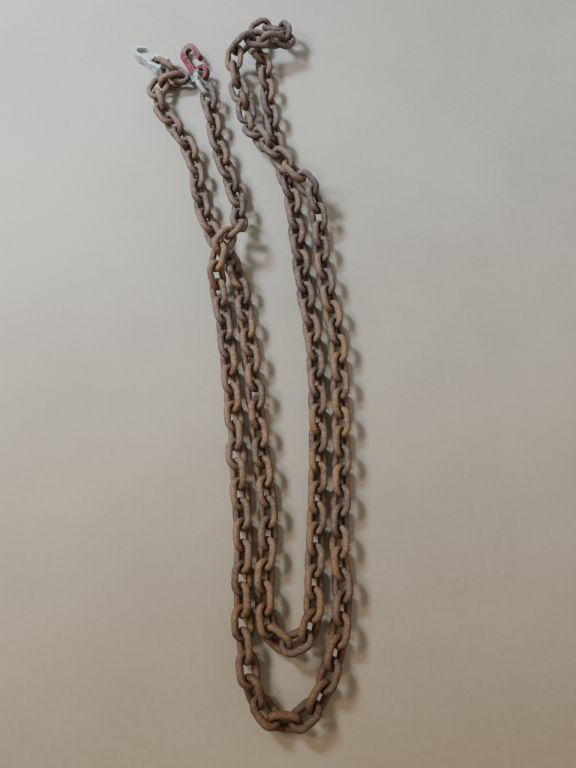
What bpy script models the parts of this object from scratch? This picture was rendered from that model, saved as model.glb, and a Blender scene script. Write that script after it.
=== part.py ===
"""A doubled towing chain lying on a level floor, with a hook at each end.

One welded short-link chain is folded in half and laid out as a long double U. Its first
link hangs on the pin of a clevis slip hook. Its last link carries a two-part coupling
link, and that carries an eye grab hook. All sizes are in metres, +Z is up, and the
origin is on the floor below the middle of the laid-out chain.
"""
import math

import bmesh
import bpy
from mathutils import Matrix, Vector
from mathutils.bvhtree import BVHTree

# Chain
WIRE = 0.013
INSIDE_LENGTH = 0.036
INSIDE_WIDTH = 0.018
LINKS = 158
LINKS_IN_A_RUN = 4
WELD_DEPTH = 0.0005
GAP = 0.0003
LEAN = 45.0
TWIST = 8.0

# Slip hook
HOOK_THICKNESS = 0.021
HOOK_PIN = 0.0126
PIN_HEAD = 0.018
PIN_HEAD_HEIGHT = 0.004
PIN_STUB = 0.009
EAR_WALL = 0.0085
EAR_PLAY = 0.005
NECK_LENGTH = 0.028
BOWL_RADIUS = 0.0135
BOWL_STOCK = 0.0135
TIP_STOCK = 0.0085
THROAT = 0.021
FORGED_EDGE = 0.004
COTTER_WIRE = 0.0026

# Coupling link
COUPLER_LENGTH = 0.078
COUPLER_BAR = 0.013
COUPLER_BORE = 0.025
LUG_RADIUS = 0.0095
TONGUE = 0.006
PRONG = 0.0048
CROSS_PIN = 0.009
BUSHING = 0.015

# Grab hook
GRAB_THICKNESS = 0.014
EYE_BORE = 0.022
EYE_WALL = 0.0095
GRAB_BODY = 0.016
GRAB_BILL = 0.012
SLOT_PLAY = 0.003
SLOT_LENGTH = 0.046
EYE_TO_BILL = 0.034
GRAB_EDGE = 0.003
GRAB_BEND = 12.0
GRAB_ROLL = 0.2

# Where the chain lies. Each point gives x in link widths, y in inside lengths, the height
# in lying links, and the lean of the odd links in degrees.
ROUTE = [
    (-4.05, 17.04, 1.0, 88),
    (-3.55, 16.72, 1.0, 75),
    (-3.02, 16.14, 1.0, 65),
    (-2.50, 15.56, 1.2, 55),
    (-2.30, 15.08, 1.9, 50),
    (-2.64, 14.88, 2.3, LEAN),
    (-3.20, 15.10, 2.1, LEAN),
    (-3.82, 15.25, 1.5, LEAN),
    (-4.18, 14.88, 1.1, LEAN),
    (-4.00, 14.15, 1.0, LEAN),
    (-3.60, 13.40, 1.0, 50),
    (-3.22, 12.70, 1.0, 60),
    (-2.84, 12.05, 1.0, 50),
    (-2.42, 11.25, 1.0, LEAN),
    (-2.02, 10.30, 1.0, LEAN),
    (-1.74, 9.10, 1.0, LEAN),
    (-1.56, 7.70, 1.0, LEAN),
    (-1.22, 5.95, 1.0, LEAN),
    (-0.45, 4.00, 1.0, LEAN),
    (0.27, 2.70, 1.0, LEAN),
    (0.62, 1.30, 1.0, LEAN),
    (0.80, -0.25, 1.0, LEAN),
    (1.05, -2.30, 1.0, LEAN),
    (1.30, -5.00, 1.0, 30),
    (1.60, -7.90, 1.0, 40),
    (1.95, -11.20, 1.0, LEAN),
    (1.78, -14.05, 1.0, LEAN),
    (1.86, -15.90, 1.0, LEAN),
    (2.13, -16.72, 1.0, LEAN),
    (2.77, -17.06, 1.0, LEAN),
    (3.41, -16.72, 1.0, LEAN),
    (3.68, -15.90, 1.0, LEAN),
    (3.72, -14.70, 1.0, LEAN),
    (3.82, -12.70, 1.0, LEAN),
    (3.95, -9.75, 1.0, LEAN),
    (4.02, -6.70, 1.0, LEAN),
    (3.98, -3.80, 1.0, LEAN),
    (3.85, -1.50, 1.0, LEAN),
    (3.50, 1.30, 1.0, LEAN),
    (3.30, 3.40, 1.0, LEAN),
    (3.12, 5.20, 1.0, LEAN),
    (3.00, 6.70, 1.0, LEAN),
    (2.75, 8.20, 1.0, LEAN),
    (2.38, 9.70, 1.0, LEAN),
    (2.10, 11.20, 1.0, LEAN),
    (1.88, 13.00, 1.0, LEAN),
    (1.64, 15.00, 1.0, LEAN),
    (1.60, 16.40, 1.0, LEAN),
    (1.40, 17.35, 1.0, LEAN),
    (1.00, 18.10, 1.0, LEAN),
    (0.84, 18.95, 1.0, LEAN),
    (1.18, 19.75, 1.0, LEAN),
    (1.90, 19.98, 1.0, LEAN),
    (2.54, 19.50, 1.3, LEAN),
    (2.76, 18.65, 1.9, LEAN),
    (2.54, 17.88, 2.5, LEAN),
    (1.94, 17.55, 3.1, LEAN),
    (1.16, 17.66, 3.6, LEAN),
    (0.48, 17.62, 3.4, LEAN),
    (0.02, 17.12, 2.7, LEAN),
    (-0.06, 16.30, 1.8, LEAN),
    (0.08, 15.50, 1.25, LEAN),
    (0.32, 14.60, 1.05, LEAN),
    (0.54, 13.60, 1.0, LEAN),
    (0.78, 12.20, 1.2, LEAN),
    (1.12, 11.00, 2.6, LEAN),
    (1.95, 9.60, 3.35, LEAN),
    (3.05, 8.10, 3.45, LEAN),
    (4.02, 6.85, 2.6, LEAN),
    (4.20, 5.40, 1.15, LEAN),
    (4.30, 3.20, 1.0, LEAN),
    (4.60, 0.80, 1.0, LEAN),
    (4.95, -1.70, 1.0, LEAN),
    (4.98, -4.00, 1.0, LEAN),
    (5.00, -6.70, 1.0, LEAN),
    (4.93, -9.70, 1.0, LEAN),
    (4.78, -12.50, 1.0, LEAN),
    (4.90, -14.60, 1.0, LEAN),
    (4.70, -16.60, 1.0, LEAN),
    (4.30, -18.20, 1.0, LEAN),
    (3.72, -19.60, 1.0, LEAN),
    (2.80, -20.30, 1.0, LEAN),
    (1.85, -19.85, 1.0, LEAN),
    (1.40, -18.70, 1.0, LEAN),
    (1.05, -16.80, 1.0, 30),
    (0.92, -14.60, 1.0, 35),
    (0.92, -12.00, 1.0, LEAN),
    (0.73, -9.60, 1.0, LEAN),
    (0.52, -6.90, 1.0, 30),
    (0.26, -4.20, 1.0, LEAN),
    (0.02, -1.90, 1.0, LEAN),
    (-0.26, 0.20, 1.0, LEAN),
    (-0.52, 1.70, 1.3, LEAN),
    (-0.58, 2.75, 2.9, LEAN),
    (-0.12, 3.75, 3.4, LEAN),
    (0.35, 4.70, 2.9, LEAN),
    (0.50, 5.80, 1.5, LEAN),
    (0.34, 7.00, 1.0, 30),
    (0.02, 8.10, 1.0, 30),
    (-0.35, 9.40, 1.0, 35),
    (-0.78, 11.00, 1.0, LEAN),
    (-1.00, 12.40, 1.0, LEAN),
    (-1.12, 13.40, 1.1, 48),
    (-1.34, 14.40, 1.3, 50),
]
SAMPLES_A_SPAN = 16

# Finishes
RUSTY_STEEL = ("rusty_steel", (0.20, 0.145, 0.12), 0.85, 0.25)
GALVANISED = ("galvanised_steel", (0.55, 0.60, 0.63), 0.5, 0.8)
RED_PAINT = ("worn_red_paint", (0.42, 0.10, 0.11), 0.6, 0.0)

wire_radius = WIRE / 2
end_radius = (INSIDE_WIDTH + WIRE) / 2
side_length = INSIDE_LENGTH - INSIDE_WIDTH
link_width = INSIDE_WIDTH + 2 * WIRE


def finish(settings):
    name, colour, roughness, metallic = settings
    material = bpy.data.materials.get(name)
    if material is None:
        material = bpy.data.materials.new(name)
        material.use_nodes = True
        shader = material.node_tree.nodes["Principled BSDF"]
        shader.inputs["Base Color"].default_value = (*colour, 1.0)
        shader.inputs["Roughness"].default_value = roughness
        shader.inputs["Metallic"].default_value = metallic
    return material


def remove_everything():
    for old in list(bpy.data.objects):
        bpy.data.objects.remove(old, do_unlink=True)


def new_collection(name):
    collection = bpy.data.collections.new(name)
    bpy.context.scene.collection.children.link(collection)
    return collection


def add_piece(name, mesh, pose, settings, collection):
    piece = bpy.data.objects.new(name, mesh)
    piece.matrix_world = pose
    piece.data.materials.clear()
    piece.data.materials.append(finish(settings))
    collection.objects.link(piece)
    return piece


def add_tool(name, mesh, pose, collection):
    """An operand of a Boolean: it shapes a piece and isn't one itself."""
    tool = bpy.data.objects.new(name, mesh)
    tool.matrix_world = pose
    tool.hide_render = True
    tool.display_type = "WIRE"
    collection.objects.link(tool)
    return tool


def add_boolean(piece, tool, operation):
    modifier = piece.modifiers.new(tool.name, "BOOLEAN")
    modifier.operation = operation
    modifier.solver = "EXACT"
    modifier.object = tool


def add_bevel(piece, width):
    modifier = piece.modifiers.new("forged_edge", "BEVEL")
    modifier.width = width
    modifier.segments = 2
    modifier.limit_method = "ANGLE"
    modifier.angle_limit = math.radians(50)


def add_turned(name, profile, sides, settings, collection):
    """A piece turned about its local Y axis, from (radius, along) points."""
    mesh = bpy.data.meshes.new(name)
    edges = [(index, index + 1) for index in range(len(profile) - 1)]
    is_ring = profile[0][0] > 0
    if is_ring:
        edges.append((len(profile) - 1, 0))
    mesh.from_pydata([(radius, along, 0.0) for radius, along in profile], edges, [])
    piece = add_piece(name, mesh, Matrix.Identity(4), settings, collection)
    modifier = piece.modifiers.new("turning", "SCREW")
    modifier.axis = "Y"
    modifier.steps = sides
    modifier.render_steps = sides
    modifier.use_merge_vertices = True
    modifier.merge_threshold = 0.00001
    modifier.use_normal_calculate = True
    modifier.use_normal_flip = is_ring
    return piece


def shape_of(piece):
    """The finished mesh of a piece, in its own frame."""
    bpy.context.view_layer.update()
    evaluated = piece.evaluated_get(bpy.context.evaluated_depsgraph_get())
    return bpy.data.meshes.new_from_object(evaluated)


def move(things, change):
    bpy.context.view_layer.update()
    for thing in things:
        thing.matrix_world = change @ thing.matrix_world


def mesh_of_curve(curve, name):
    """The welded mesh of a curve, which is then removed."""
    carrier = bpy.data.objects.new(name + "_curve", curve)
    bpy.context.scene.collection.objects.link(carrier)
    bpy.context.view_layer.update()
    evaluated = carrier.evaluated_get(bpy.context.evaluated_depsgraph_get())
    mesh = bpy.data.meshes.new_from_object(evaluated)
    mesh.name = name
    bpy.data.objects.remove(carrier, do_unlink=True)
    shape = bmesh.new()
    shape.from_mesh(mesh)
    bmesh.ops.remove_doubles(shape, verts=shape.verts, dist=0.00001)
    bmesh.ops.recalc_face_normals(shape, faces=shape.faces)
    shape.to_mesh(mesh)
    shape.free()
    return mesh


def line_curve(name, points, cyclic, dimensions="3D"):
    """A curve of one straight-sided spline."""
    curve = bpy.data.curves.new(name, "CURVE")
    curve.dimensions = dimensions
    spline = curve.splines.new("POLY")
    spline.points.add(len(points) - 1)
    for target, point in zip(spline.points, points):
        target.co = (point[0], point[1], point[2] if len(point) > 2 else 0.0, 1.0)
    spline.use_cyclic_u = cyclic
    return curve


def tube_mesh(name, points, radius, resolution=2, cyclic=False):
    curve = line_curve(name, points, cyclic)
    curve.bevel_depth = radius
    curve.bevel_resolution = resolution
    curve.use_fill_caps = not cyclic
    return mesh_of_curve(curve, name)


def plate_mesh(name, outlines, thickness):
    """A flat plate, centred on its own plane, with one outline and any holes after it."""
    curve = line_curve(name, outlines[0], True, "2D")
    for outline in outlines[1:]:
        spline = curve.splines.new("POLY")
        spline.points.add(len(outline) - 1)
        for target, point in zip(spline.points, outline):
            target.co = (point[0], point[1], 0.0, 1.0)
        spline.use_cyclic_u = True
    curve.fill_mode = "BOTH"
    curve.extrude = thickness / 2
    return mesh_of_curve(curve, name)


def cylinder_mesh(name, radius, length, sides):
    """A cylinder on the local Y axis."""
    shape = bmesh.new()
    turn = Matrix.Rotation(math.radians(90), 4, "X")
    bmesh.ops.create_cone(shape, cap_ends=True, segments=sides, radius1=radius, radius2=radius,
                          depth=length, matrix=turn)
    mesh = bpy.data.meshes.new(name)
    shape.to_mesh(mesh)
    shape.free()
    return mesh


def box_mesh(name, low, high):
    shape = bmesh.new()
    middle = [(a + b) / 2 for a, b in zip(low, high)]
    size = [b - a for a, b in zip(low, high)]
    place = Matrix.Translation(middle) @ Matrix.Diagonal((*size, 1.0))
    bmesh.ops.create_cube(shape, size=1.0, matrix=place)
    mesh = bpy.data.meshes.new(name)
    shape.to_mesh(mesh)
    shape.free()
    return mesh


def arc(centre, radius, start, end, steps, end_radius_factor=1.0):
    """Points on an arc, by degrees, whose radius may grow or shrink along it."""
    points = []
    for step in range(steps + 1):
        share = step / steps
        angle = math.radians(start + (end - start) * share)
        reach = radius * (1 + (end_radius_factor - 1) * share)
        points.append((centre[0] + reach * math.cos(angle), centre[1] + reach * math.sin(angle)))
    return points


# The link

def link_mesh():
    """One link: two straight sides and two half-octagon ends, bent from five-sided wire."""
    corner = end_radius * math.tan(math.radians(22.5))
    half = side_length / 2
    quarter = [(half + corner, end_radius), (half + end_radius, corner)]
    right = quarter + [(x, -y) for x, y in reversed(quarter)]
    outline = right + [(-x, y) for x, y in reversed(right)]
    mitre = 1 / math.cos(math.radians(22.5))
    corners = [(1, 0), (0.15, 1.06), (-0.94, 0.66), (-0.94, -0.66), (0.15, -1.06)]
    corners = [(x * mitre * wire_radius, y * wire_radius) for x, y in corners]
    section = line_curve("wire_section", corners, True, "2D")
    section_object = bpy.data.objects.new("wire_section", section)
    bpy.context.scene.collection.objects.link(section_object)
    path = line_curve("link", outline, True)
    path.bevel_mode = "OBJECT"
    path.bevel_object = section_object
    mesh = mesh_of_curve(path, "link")
    bpy.data.objects.remove(section_object, do_unlink=True)
    return mesh


# The route

def lowest(mesh, pose):
    return min((pose @ vertex.co).z for vertex in mesh.vertices)


def lying_height(mesh, lean):
    """Height of a link's middle when it and its neighbours rest on the floor with this lean."""
    ahead = Vector((0, 1, 0))
    poses = [pose_from(link_axes(ahead, lean, number), Vector()) for number in (0, 1)]
    return -min(lowest(mesh, pose) for pose in poses)


def smooth_route(mesh):
    """The laid line through the route's points: place, lean and length so far at each sample."""
    knots = []
    for across, along, height, lean in ROUTE:
        middle = height * lying_height(mesh, lean)
        knots.append((Vector((across * link_width, along * INSIDE_LENGTH, middle)), lean))
    samples = []
    for index in range(len(knots) - 1):
        before = knots[max(index - 1, 0)][0]
        start, lean = knots[index]
        end, next_lean = knots[index + 1]
        after = knots[min(index + 2, len(knots) - 1)][0]
        for step in range(SAMPLES_A_SPAN):
            t = step / SAMPLES_A_SPAN
            place = 0.5 * ((2 * start) + (end - before) * t
                           + (2 * before - 5 * start + 4 * end - after) * t * t
                           + (3 * start - before - 3 * end + after) * t * t * t)
            samples.append((place, lean + (next_lean - lean) * t))
    samples.append(knots[-1])
    lengths = [0.0]
    for (place, _), (following, _) in zip(samples, samples[1:]):
        lengths.append(lengths[-1] + (following - place).length)
    return samples, lengths


def route_at(route, length):
    samples, lengths = route
    low, high = 0, len(lengths) - 1
    while high - low > 1:
        middle = (low + high) // 2
        if lengths[middle] <= length:
            low = middle
        else:
            high = middle
    share = (length - lengths[low]) / (lengths[high] - lengths[low])
    place = samples[low][0].lerp(samples[high][0], share)
    return place, samples[low][1] + (samples[high][1] - samples[low][1]) * share


def link_axes(ahead, lean, number):
    """A link's length, width and thickness directions, for its heading and its lean."""
    side = Vector((0, 0, 1)).cross(ahead).normalized()
    above = ahead.cross(side)
    turn = math.radians(lean + (90 if number % 2 else 0))
    across = side * math.cos(turn) + above * math.sin(turn)
    return ahead, across, ahead.cross(across)


def hung_axes(ahead, lean, number, previous):
    """A link's axes, leaning as asked as far as its twist against the link before allows."""
    leaning = link_axes(ahead, lean, number)[1]
    across = previous[1].cross(ahead).normalized()
    if across.dot(leaning) < 0:
        across = -across
    twist = math.degrees(across.angle(leaning))
    across = across.slerp(leaning, min(1.0, TWIST / max(twist, TWIST)))
    return ahead, across, ahead.cross(across)


def contact_normal(axes, next_axes):
    """The direction in which two linked ends press on each other, square to both wires."""
    normal = axes[1].cross(next_axes[1]).normalized()
    return normal if normal.dot(axes[0]) > 0 else -normal


def pose_from(axes, middle):
    pose = Matrix(axes).transposed().to_4x4()
    pose.translation = middle
    return pose


def posed_tree(mesh, pose):
    corners = [pose @ vertex.co for vertex in mesh.vertices]
    return BVHTree.FromPolygons(corners, [tuple(face.vertices) for face in mesh.polygons])


def distance_ahead(route, length, place, reach):
    """How far along the route a point lies at this reach from a place behind it."""
    ahead = length + reach
    for _ in range(4):
        point, _ = route_at(route, ahead)
        ahead += reach - (point - place).length
    return ahead


def next_link(mesh, route, length, number, previous):
    """Axes of the link that follows, and its far end's place along the route."""
    axes, crown = previous
    crown_reach = INSIDE_LENGTH + WIRE
    near = crown - axes[0] * WIRE
    heading = axes[0]
    raised = 0.0
    for _ in range(8):
        far_length = distance_ahead(route, length, near, crown_reach)
        target, lean = route_at(route, far_length)
        next_lean = route_at(route, far_length + INSIDE_LENGTH)[1]
        beyond = (route_at(route, far_length + INSIDE_LENGTH)[0] - target).normalized()
        new_axes = hung_axes(heading, lean, number, axes)
        lift = contact_normal(new_axes, link_axes(beyond, next_lean, number + 1)).z * WIRE
        target = target + Vector((0, 0, max(lift, 0.0) + raised))
        heading = (target - near).normalized()
        new_axes = hung_axes(heading, lean, number, axes)
        near = crown - contact_normal(axes, new_axes) * WIRE
        raised -= min(lowest(mesh, pose_from(new_axes, near + heading * crown_reach / 2)), 0.0)
    return new_axes, far_length


def first_clear(obstacle, mesh, axes, start, direction):
    """How far a shape moves along a direction before it is just out of an obstacle."""

    def clear(distance):
        pose = pose_from(axes, start + direction * distance)
        return not obstacle.overlap(posed_tree(mesh, pose))

    step = WIRE * 0.02
    tight = 0.0
    while not clear(tight + step) and tight < WIRE:
        tight += step
    loose = tight + step
    for _ in range(8):
        middle = (tight + loose) / 2
        if clear(middle):
            loose = middle
        else:
            tight = middle
    return loose


def hung_pose(mesh, pose, axes):
    """A link drawn against the one before it, bent less or twisted if it would catch."""
    obstacle = posed_tree(mesh, pose)
    last = tuple(pose.to_3x3().col[i].copy() for i in range(3))
    half = side_length / 2 + end_radius
    crown = pose.translation + last[0] * half
    best = None
    for ease in (0.0, 0.12, 0.24, 0.36):
        for twist in (0, 8, -8, 16, -16):
            ahead = axes[0].slerp(last[0], ease)
            across = (axes[1] - ahead * axes[1].dot(ahead)).normalized()
            across = Matrix.Rotation(math.radians(twist), 3, ahead) @ across
            tried = (ahead, across, ahead.cross(across))
            normal = contact_normal(last, tried)
            tight = crown - normal * (WIRE * 0.8) + ahead * half
            slack = first_clear(obstacle, mesh, tried, tight, -normal)
            if best is None or slack < best[0]:
                best = (slack, tried, tight, normal)
            if slack < WIRE * 0.4:
                return best
    return best


def place_links(mesh):
    """Every link's pose: each end is drawn against the end of the link before it."""
    route = smooth_route(mesh)
    half = side_length / 2 + end_radius
    start, lean = route_at(route, 0.0)
    far_length = distance_ahead(route, 0.0, start, INSIDE_LENGTH + WIRE)
    heading = (route_at(route, far_length)[0] - start).normalized()
    axes = link_axes(heading, lean, 0)
    poses = [pose_from(axes, start + heading * half)]
    for number in range(1, LINKS):
        crown = poses[-1].translation + axes[0] * half
        new_axes, far_length = next_link(mesh, route, far_length - WIRE, number, (axes, crown))
        slack, axes, tight, normal = hung_pose(mesh, poses[-1], new_axes)
        slack += GAP if number % LINKS_IN_A_RUN == 0 else -WELD_DEPTH
        poses.append(pose_from(axes, tight - normal * slack))
    return poses


def build_chain(mesh, poses, parts, tools):
    for first in range(0, len(poses), LINKS_IN_A_RUN):
        last = min(first + LINKS_IN_A_RUN, len(poses))
        run = add_piece("links_%03d_%03d" % (first + 1, last), mesh.copy(), poses[first],
                        RUSTY_STEEL, parts)
        for number in range(first + 1, last):
            tool = add_tool("link_%03d" % (number + 1), mesh, poses[number], tools)
            add_boolean(run, tool, "UNION")


# The slip hook. Its origin is the pin's middle, +X runs to the bowl, +Y along the pin.

ear_slot = WIRE + EAR_PLAY
yoke_width = ear_slot + 2 * EAR_WALL
slot_root = HOOK_PIN / 2 + GAP + WIRE + SLOT_PLAY
bowl_middle = slot_root + NECK_LENGTH + BOWL_RADIUS


def slip_hook_outline():
    ear_end = -HOOK_THICKNESS / 2
    slot = ear_slot / 2
    side = yoke_width / 2
    neck = bowl_middle - BOWL_STOCK / 2 + TIP_STOCK / 2 - THROAT
    tip = TIP_STOCK / 2
    bowl = BOWL_RADIUS + BOWL_STOCK
    points = [(ear_end, slot), (slot_root, slot), (slot_root, -slot), (ear_end, -slot)]
    points += [(ear_end, -side), (neck - FORGED_EDGE, -side), (neck, FORGED_EDGE - side)]
    points += [(neck + FORGED_EDGE / 2, -BOWL_RADIUS / 4)]
    points += arc((bowl_middle, 0), BOWL_RADIUS, 125, -90, 12)
    points += arc((bowl_middle, -BOWL_RADIUS - tip), tip, 110, 250, 5)
    points += arc((bowl_middle, 0), BOWL_RADIUS + TIP_STOCK, -84, 0, 5,
                  bowl / (BOWL_RADIUS + TIP_STOCK))
    points += arc((bowl_middle, 0), bowl, 18, 112, 5)
    points += [(neck + FORGED_EDGE, side + BOWL_STOCK / 2), (neck - FORGED_EDGE, side)]
    return points + [(ear_end, side)]


def build_slip_hook(parts, tools):
    still = Matrix.Identity(4)
    hook = add_piece("slip_hook", plate_mesh("slip_hook", [slip_hook_outline()], HOOK_THICKNESS),
                     still, GALVANISED, parts)
    add_bevel(hook, min(FORGED_EDGE, 0.45 * EAR_WALL, 0.45 * TIP_STOCK))
    bore = add_tool("slip_hook_pin_bore", cylinder_mesh(
        "slip_hook_pin_bore", HOOK_PIN / 2 + GAP, yoke_width + 2 * PIN_STUB, 24), still, tools)
    add_boolean(hook, bore, "DIFFERENCE")

    head_side = -yoke_width / 2 - GAP
    stub_end = yoke_width / 2 + PIN_STUB
    edge = 0.1 * HOOK_PIN
    pin = add_turned("slip_hook_pin", [
        (0, head_side - PIN_HEAD_HEIGHT), (PIN_HEAD / 2 - edge, head_side - PIN_HEAD_HEIGHT),
        (PIN_HEAD / 2, head_side - PIN_HEAD_HEIGHT + edge), (PIN_HEAD / 2, head_side),
        (HOOK_PIN / 2, head_side), (HOOK_PIN / 2, stub_end - edge),
        (HOOK_PIN / 2 - edge, stub_end), (0, stub_end)], 24, GALVANISED, parts)
    middle = yoke_width / 2 + PIN_STUB / 2
    upright = Matrix.Translation((0, middle, 0)) @ Matrix.Rotation(math.radians(90), 4, "X")
    hole = add_tool("cotter_hole", cylinder_mesh(
        "cotter_hole", COTTER_WIRE / 2 + GAP, 2 * HOOK_PIN, 10), upright, tools)
    add_boolean(pin, hole, "DIFFERENCE")

    ring = 1.3 * COTTER_WIRE
    shank = [(0, 0, HOOK_PIN / 2 + ring), (0, 0, -HOOK_PIN / 2 - COTTER_WIRE),
             (COTTER_WIRE, 0, -HOOK_PIN / 2 - 2 * COTTER_WIRE)]
    cotter = add_piece("cotter_pin", tube_mesh("cotter_pin", shank, COTTER_WIRE / 2, 1),
                       Matrix.Translation((0, middle, 0)), GALVANISED, parts)
    eye = [(x, 0, z + HOOK_PIN / 2 + 2 * ring) for x, z in arc((0, 0), ring, 0, 330, 11)]
    loop = add_tool("cotter_eye", tube_mesh("cotter_eye", eye, COTTER_WIRE / 2, 1, True),
                    Matrix.Translation((0, middle, 0)), tools)
    add_boolean(cotter, loop, "UNION")
    return [hook, bore, pin, hole, cotter, loop]


# The coupling link. Its origin is its middle, +Y runs from one crown to the other.

bar_offset = (COUPLER_BORE + COUPLER_BAR) / 2
crown_offset = (COUPLER_LENGTH - COUPLER_BAR) / 2
lug_width = TONGUE + 2 * (PRONG + GAP)


def build_coupler_half(name, parts, tools):
    """A bent bar with a forked lug at one foot and a flat tongue at the other."""
    still = Matrix.Identity(4)
    across = Matrix.Rotation(math.radians(-90), 4, "Z")
    fork_side = Matrix.Translation((-bar_offset, 0, 0))
    shoulder = LUG_RADIUS + 0.1 * COUPLER_BAR
    rise = crown_offset - shoulder
    bend = [(x, shoulder + y * rise / bar_offset) for x, y in arc((0, 0), bar_offset, 0, 180, 12)]
    half = add_piece(name, tube_mesh(name, bend + [(-bar_offset, 0.6 * LUG_RADIUS)],
                                     COUPLER_BAR / 2, 3), still, GALVANISED, parts)
    lug = add_tool(name + "_lug", cylinder_mesh(name + "_lug", LUG_RADIUS, lug_width, 24),
                   fork_side @ across, tools)
    tongue_disc = add_tool(name + "_tongue_end", cylinder_mesh(
        name + "_tongue_end", LUG_RADIUS, TONGUE, 24), fork_side.inverted() @ across, tools)
    neck = add_tool(name + "_tongue", box_mesh(
        name + "_tongue", (bar_offset - TONGUE / 2, 0, -COUPLER_BAR * 0.45),
        (bar_offset + TONGUE / 2, shoulder + COUPLER_BAR / 3, COUPLER_BAR * 0.45)), still, tools)
    slot = add_tool(name + "_slot", box_mesh(
        name + "_slot", (-bar_offset - TONGUE / 2 - GAP, -1.5 * LUG_RADIUS, -COUPLER_BAR),
        (-bar_offset + TONGUE / 2 + GAP, LUG_RADIUS + GAP, COUPLER_BAR)), still, tools)
    bore = add_tool(name + "_bore", cylinder_mesh(
        name + "_bore", CROSS_PIN / 2 + GAP, 4 * bar_offset, 20), across, tools)
    for added in (lug, tongue_disc, neck):
        add_boolean(half, added, "UNION")
    for cut in (slot, bore):
        add_boolean(half, cut, "DIFFERENCE")
    return [half, lug, tongue_disc, neck, slot, bore]


def build_coupler(parts, tools):
    upper = build_coupler_half("coupler_half_upper", parts, tools)
    lower = build_coupler_half("coupler_half_lower", parts, tools)
    move(lower, Matrix.Rotation(math.radians(180), 4, "Z"))
    across = Matrix.Rotation(math.radians(-90), 4, "Z")
    end = bar_offset + lug_width / 2 - GAP
    edge = 0.1 * CROSS_PIN
    pin = add_turned("coupler_pin", [
        (0, -end), (CROSS_PIN / 2 - edge, -end), (CROSS_PIN / 2, edge - end),
        (CROSS_PIN / 2, end - edge), (CROSS_PIN / 2 - edge, end), (0, end)], 20, GALVANISED, parts)
    end = bar_offset - lug_width / 2 - GAP
    bushing = add_turned("coupler_bushing", [
        (CROSS_PIN / 2 + GAP, end), (BUSHING / 2, end), (BUSHING / 2, -end),
        (CROSS_PIN / 2 + GAP, -end)], 20, GALVANISED, parts)
    move([pin, bushing], across)
    return upper + lower + [pin, bushing]


# The grab hook. Its origin is the eye's middle, +X runs along the slot.

def grab_hook_outlines():
    eye = EYE_BORE / 2 + EYE_WALL
    slot = (WIRE + SLOT_PLAY) / 2
    top = eye
    line = top - GRAB_BODY - slot
    bill = line - slot - GRAB_BILL
    tip = EYE_TO_BILL
    root = tip + SLOT_LENGTH - slot
    reach = (top - bill) / 2
    sweep = math.degrees(math.asin((line + slot) / eye))
    outside = arc((0, 0), eye, 90, 360 + sweep, 20)
    outside += arc((root, line), slot, 90, -90, 8)
    outside += [(tip + GRAB_BILL / 4, line - slot), (tip, line - slot - GRAB_BILL / 4),
                (tip + GRAB_BILL / 6, bill + GRAB_BILL / 4), (tip + GRAB_BILL / 2, bill)]
    outside += arc((root, (top + bill) / 2), reach, -90, 90, 12)
    return [outside, arc((0, 0), EYE_BORE / 2, 0, 345, 23)]


def build_grab_hook(parts):
    hook = add_piece("grab_hook", plate_mesh("grab_hook", grab_hook_outlines(), GRAB_THICKNESS),
                     Matrix.Identity(4), RED_PAINT, parts)
    add_bevel(hook, min(GRAB_EDGE, 0.3 * GRAB_THICKNESS, 0.35 * EYE_WALL))
    return [hook]


# Laying the fittings down

def turned_down(axes, degrees):
    """The axes after a turn about the second of them, which drops the first."""
    turn = Matrix.Rotation(math.radians(degrees), 3, axes[1])
    return tuple(turn @ axis for axis in axes)


def resting_pose(pose_at, meshes, floor):
    """The pose, among those made from a downward turn, whose lowest point meets the floor."""
    high, low = -40.0, 40.0
    for _ in range(16):
        middle = (high + low) / 2
        pose = pose_at(middle)
        if min(lowest(mesh, pose) for mesh in meshes) > floor:
            high = middle
        else:
            low = middle
    return pose_at(high)


def slip_hook_pose(hook_mesh, pin_mesh, link, link_pose, floor):
    heading, _, pin_line = (link_pose.to_3x3().col[i].copy() for i in range(3))
    flat = Vector((0, 0, 1))
    if (-heading).cross(pin_line).dot(flat) < 0:
        pin_line = -pin_line
    axes = (-heading, pin_line, (-heading).cross(pin_line))
    tight = link_pose.translation - heading * (INSIDE_LENGTH - HOOK_PIN) / 2 - heading * WIRE / 4
    slack = first_clear(posed_tree(link, link_pose), pin_mesh, axes, tight, heading) + GAP
    place = tight + heading * slack
    return resting_pose(lambda drop: pose_from(turned_down(axes, drop), place), [hook_mesh], floor)


def coupler_pose(half_meshes, link, link_pose, number, floor):
    """The lower crown hangs in the last link, and the coupler leans as a further link would."""
    heading, across, _ = (link_pose.to_3x3().col[i].copy() for i in range(3))
    crown = link_pose.translation + heading * (side_length / 2 + end_radius)
    tree = posed_tree(link, link_pose)
    level = Vector((heading.x, heading.y, 0)).normalized()
    lean = ROUTE[-1][3]

    def pose_at(drop):
        ahead = (level + Vector((0, 0, -math.tan(math.radians(drop))))).normalized()
        axes = link_axes(ahead, lean, number)
        frame = (axes[1], axes[0], axes[1].cross(axes[0]))
        normal = axes[1].cross(across).normalized()
        normal = normal if normal.dot(ahead) > 0 else -normal
        tight = crown - normal * (WIRE + COUPLER_BAR) * 0.4 + ahead * crown_offset
        slack = first_clear(tree, half_meshes[0], frame, tight, -normal) + GAP
        return pose_from(frame, tight - normal * slack)

    return resting_pose(pose_at, half_meshes, floor)


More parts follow.
